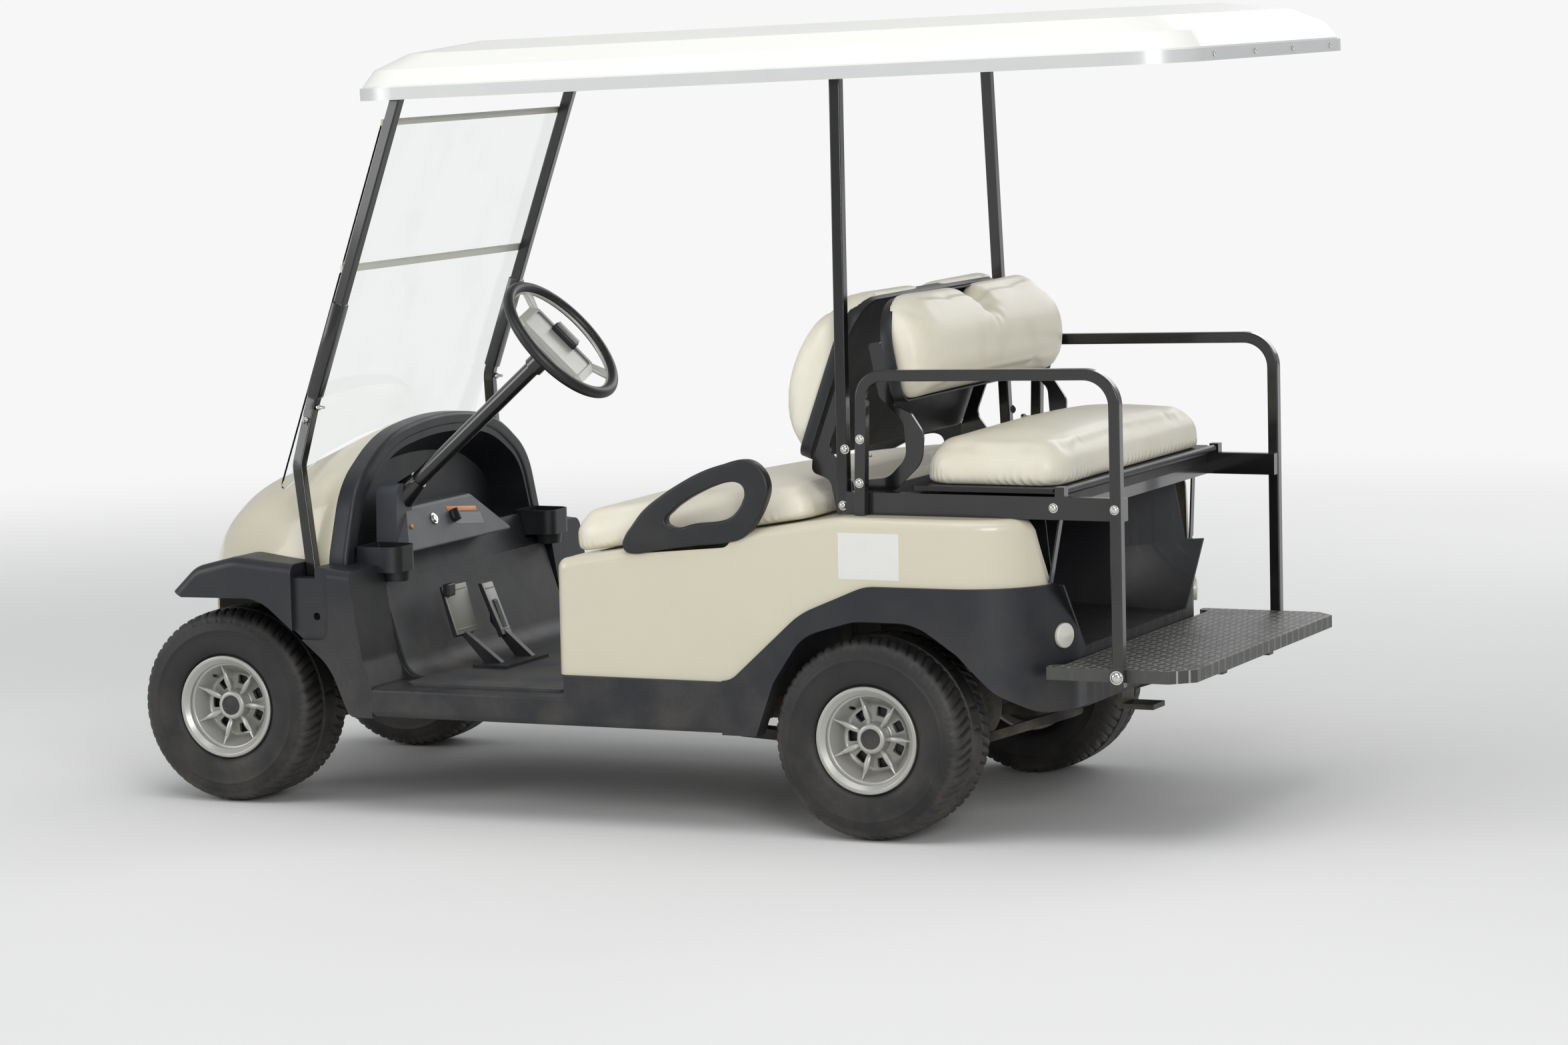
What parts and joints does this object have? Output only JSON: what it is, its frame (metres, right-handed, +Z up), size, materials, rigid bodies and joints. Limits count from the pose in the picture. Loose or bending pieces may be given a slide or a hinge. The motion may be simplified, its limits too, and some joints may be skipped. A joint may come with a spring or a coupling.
{
  "type": "electric golf cart",
  "caption": "Electric golf cart with a long roof, a fold-down windshield, a front bench, and a rear-facing flip seat over a foot plate.",
  "frame": {"origin": "on the ground, on the centre plane, at the middle of the whole length from the nose to the roof's rear edge", "axes": "+X forward, +Y to the driver's side (left), +Z up"},
  "size_m": [2.6657, 1.196, 1.8296],
  "materials": {
    "tyre": "ribbed rubber",
    "rim": "silver paint, satin",
    "running_gear": "dusty black",
    "frame": "satin black",
    "motor": "matt",
    "battery": "matt",
    "black_plastic": "fine grain",
    "mat": "ribbed",
    "beige": "gloss moulded plastic",
    "dash_grey": "fine grain",
    "vinyl": "off-white vinyl",
    "shell": "fine grain",
    "tread_plate": "black coated tread plate",
    "tube": "gloss black",
    "roof": "white",
    "trim": "bright",
    "windshield": "clear acrylic",
    "reflector": "clear reflector",
    "steering": "satin"
  },
  "bodies": {
    "cart": {"front_suspension": "running_gear", "steering_column": "tube", "chassis_frame": "frame", "rear_axle": "running_gear", "drive_motor": "motor", "rear_springs": "running_gear", "battery_pack": "battery", "underbody": "black_plastic", "floor_mat": "mat", "pedals": "black_plastic", "front_cowl": "beige", "front_bumper": "black_plastic", "cowl_frame": "black_plastic", "dash_panel": "dash_grey", "cup_holders": "black_plastic", "fender_front_left": "black_plastic", "fender_front_right": "black_plastic", "body_side_left": "beige", "body_side_right": "beige", "kick_panel": "beige", "seat_deck": "beige", "fender_rear_left": "black_plastic", "fender_rear_right": "black_plastic", "bag_well": "black_plastic", "reflectors": "reflector", "front_cushion": "vinyl", "front_back": "vinyl", "rear_back": "vinyl", "back_shells": "shell", "seat_back_frame": "tube", "hip_restraints": "shell", "rear_seat_frame": "tube", "grab_rails": "tube", "foot_plate": "tread_plate", "cargo_deck": "tube", "front_struts": "tube", "rear_struts": "tube", "roof": "roof", "roof_trim": "trim", "windshield": "windshield"},
    "wheel_front_left": {"tyre_front_left": "tyre", "rim_front_left": "rim"},
    "wheel_front_right": {"tyre_front_right": "tyre", "rim_front_right": "rim"},
    "wheel_rear_left": {"tyre_rear_left": "tyre", "rim_rear_left": "rim"},
    "wheel_rear_right": {"tyre_rear_right": "tyre", "rim_rear_right": "rim"},
    "left_knuckle": {"knuckle_left": "running_gear"},
    "right_knuckle": {"knuckle_right": "running_gear"},
    "steering_link": {"tie_rod": "running_gear"},
    "steering_wheel_body": {"steering_wheel": "steering"},
    "flip_seat": {"flip_pan": "tube", "rear_cushion": "vinyl"}
  },
  "joints": [
    {"name": "rear_left_wheel_spin", "type": "hinge", "parent": "cart", "child": "wheel_rear_left", "pos_m": [-0.567, 0.489, 0.2285], "axis": [0, 1, 0], "continuous": true},
    {"name": "rear_right_wheel_spin", "type": "hinge", "parent": "cart", "child": "wheel_rear_right", "pos_m": [-0.567, -0.489, 0.2285], "axis": [0, 1, 0], "continuous": true},
    {"name": "left_steer", "type": "hinge", "parent": "cart", "child": "left_knuckle", "pos_m": [1.097, 0.318, 0.2285], "axis": [0, 0, 1], "range_deg": [-28, 28]},
    {"name": "right_steer", "type": "hinge", "parent": "cart", "child": "right_knuckle", "pos_m": [1.097, -0.318, 0.2285], "axis": [0, 0, 1], "range_deg": [-28, 28]},
    {"name": "front_left_wheel_spin", "type": "hinge", "parent": "left_knuckle", "child": "wheel_front_left", "pos_m": [1.097, 0.438, 0.2285], "axis": [0, 1, 0], "continuous": true},
    {"name": "front_right_wheel_spin", "type": "hinge", "parent": "right_knuckle", "child": "wheel_front_right", "pos_m": [1.097, -0.438, 0.2285], "axis": [0, 1, 0], "continuous": true},
    {"name": "link_pivot", "type": "hinge", "parent": "left_knuckle", "child": "steering_link", "pos_m": [0.985, 0.318, 0.168], "axis": [0, 0, 1], "range_deg": [-28, 28]},
    {"name": "steering_wheel_turn", "type": "hinge", "parent": "cart", "child": "steering_wheel_body", "pos_m": [0.317, 0.28, 1.084], "axis": [-0.7547, 0, 0.6561], "range_deg": [-300, 300]},
    {"name": "rear_seat_flip", "type": "hinge", "parent": "cart", "child": "flip_seat", "pos_m": [-1.007, 0, 0.7845], "axis": [0, -1, 0], "range_deg": [0, 180]}
  ],
  "couplings": [
    {"joint": "right_steer", "follows": "left_steer", "ratio": 1},
    {"joint": "link_pivot", "follows": "left_steer", "ratio": -1},
    {"joint": "steering_wheel_turn", "follows": "left_steer", "ratio": 10}
  ]
}
